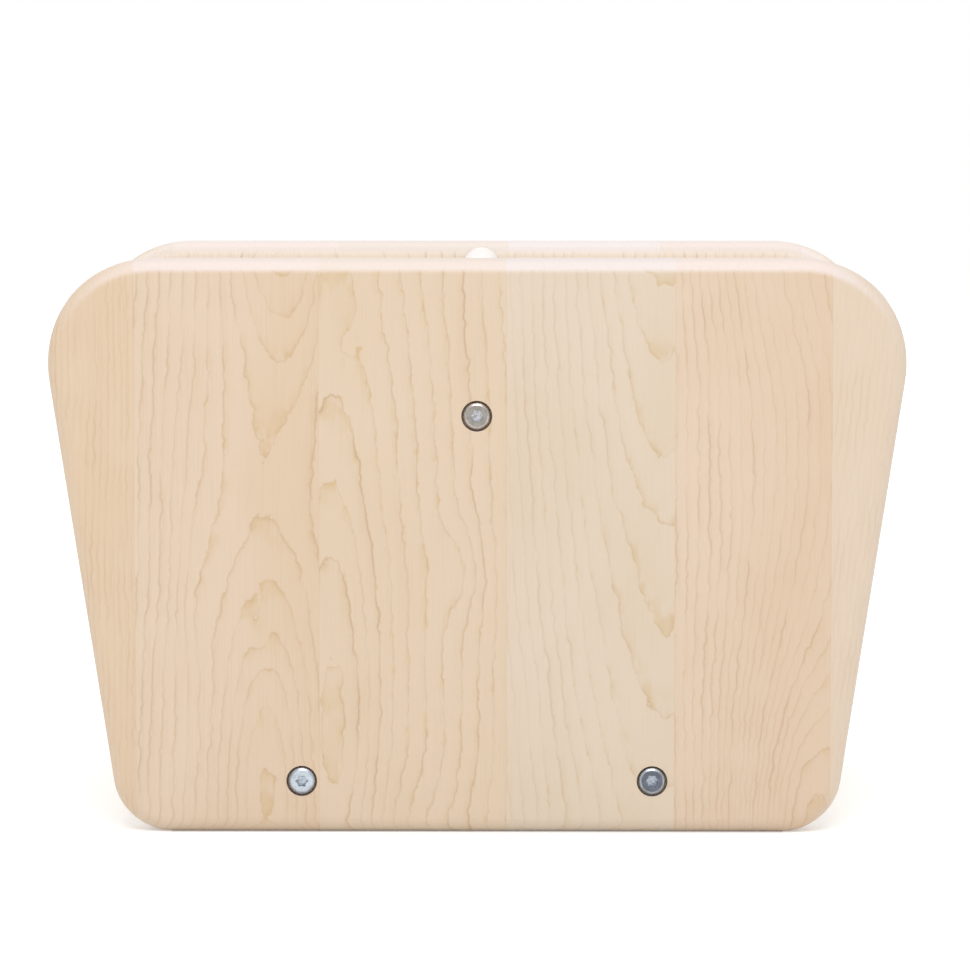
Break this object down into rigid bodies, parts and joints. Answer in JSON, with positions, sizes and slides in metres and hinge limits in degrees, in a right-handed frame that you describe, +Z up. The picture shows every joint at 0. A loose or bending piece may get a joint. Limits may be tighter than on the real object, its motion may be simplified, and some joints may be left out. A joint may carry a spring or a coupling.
{
  "type": "cajon",
  "caption": "Low top-played cajon: solid maple end panels, wider at the top, bolted over a plywood body with side sound ports, thin striking boards and a round centre bar.",
  "frame": {"origin": "middle of the footprint, on the floor plane that both end panels stand on", "axes": "+X across the front panel to its right, +Y from the front panel to the rear one, +Z up"},
  "size_m": [0.46, 0.3, 0.309],
  "materials": {
    "maple": "sanded and oiled, satin",
    "plywood": "sanded and oiled, satin",
    "birch_dowel": "turned and sanded",
    "steel": "bright zinc plated",
    "brass": "plain turned"
  },
  "bodies": {
    "root": {"front_panel": "maple", "rear_panel": "maple", "centre_beam": "maple", "lower_left_rail": "maple", "lower_right_rail": "maple", "top_left_rail": "maple", "top_right_rail": "maple", "front_left_ledger": "maple", "front_right_ledger": "maple", "rear_left_ledger": "maple", "rear_right_ledger": "maple", "left_wall": "plywood", "right_wall": "plywood", "bottom_board": "plywood", "centre_partition": "plywood", "left_striking_board": "plywood", "right_striking_board": "plywood", "centre_bar": "birch_dowel", "front_upper_bolt": "steel", "front_lower_left_bolt": "steel", "front_lower_right_bolt": "steel", "rear_upper_bolt": "steel", "rear_lower_left_bolt": "steel", "rear_lower_right_bolt": "steel", "left_board_screw_1": "steel", "left_board_screw_2": "steel", "left_board_screw_3": "steel", "left_board_screw_4": "steel", "left_board_screw_5": "steel", "left_board_screw_6": "steel", "left_board_screw_7": "steel", "right_board_screw_1": "steel", "right_board_screw_2": "steel", "right_board_screw_3": "steel", "right_board_screw_4": "steel", "right_board_screw_5": "steel", "right_board_screw_6": "steel", "right_board_screw_7": "steel", "front_upper_insert": "brass", "front_lower_left_insert": "brass", "front_lower_right_insert": "brass", "rear_upper_insert": "brass", "rear_lower_left_insert": "brass", "rear_lower_right_insert": "brass"}
  },
  "joints": []
}
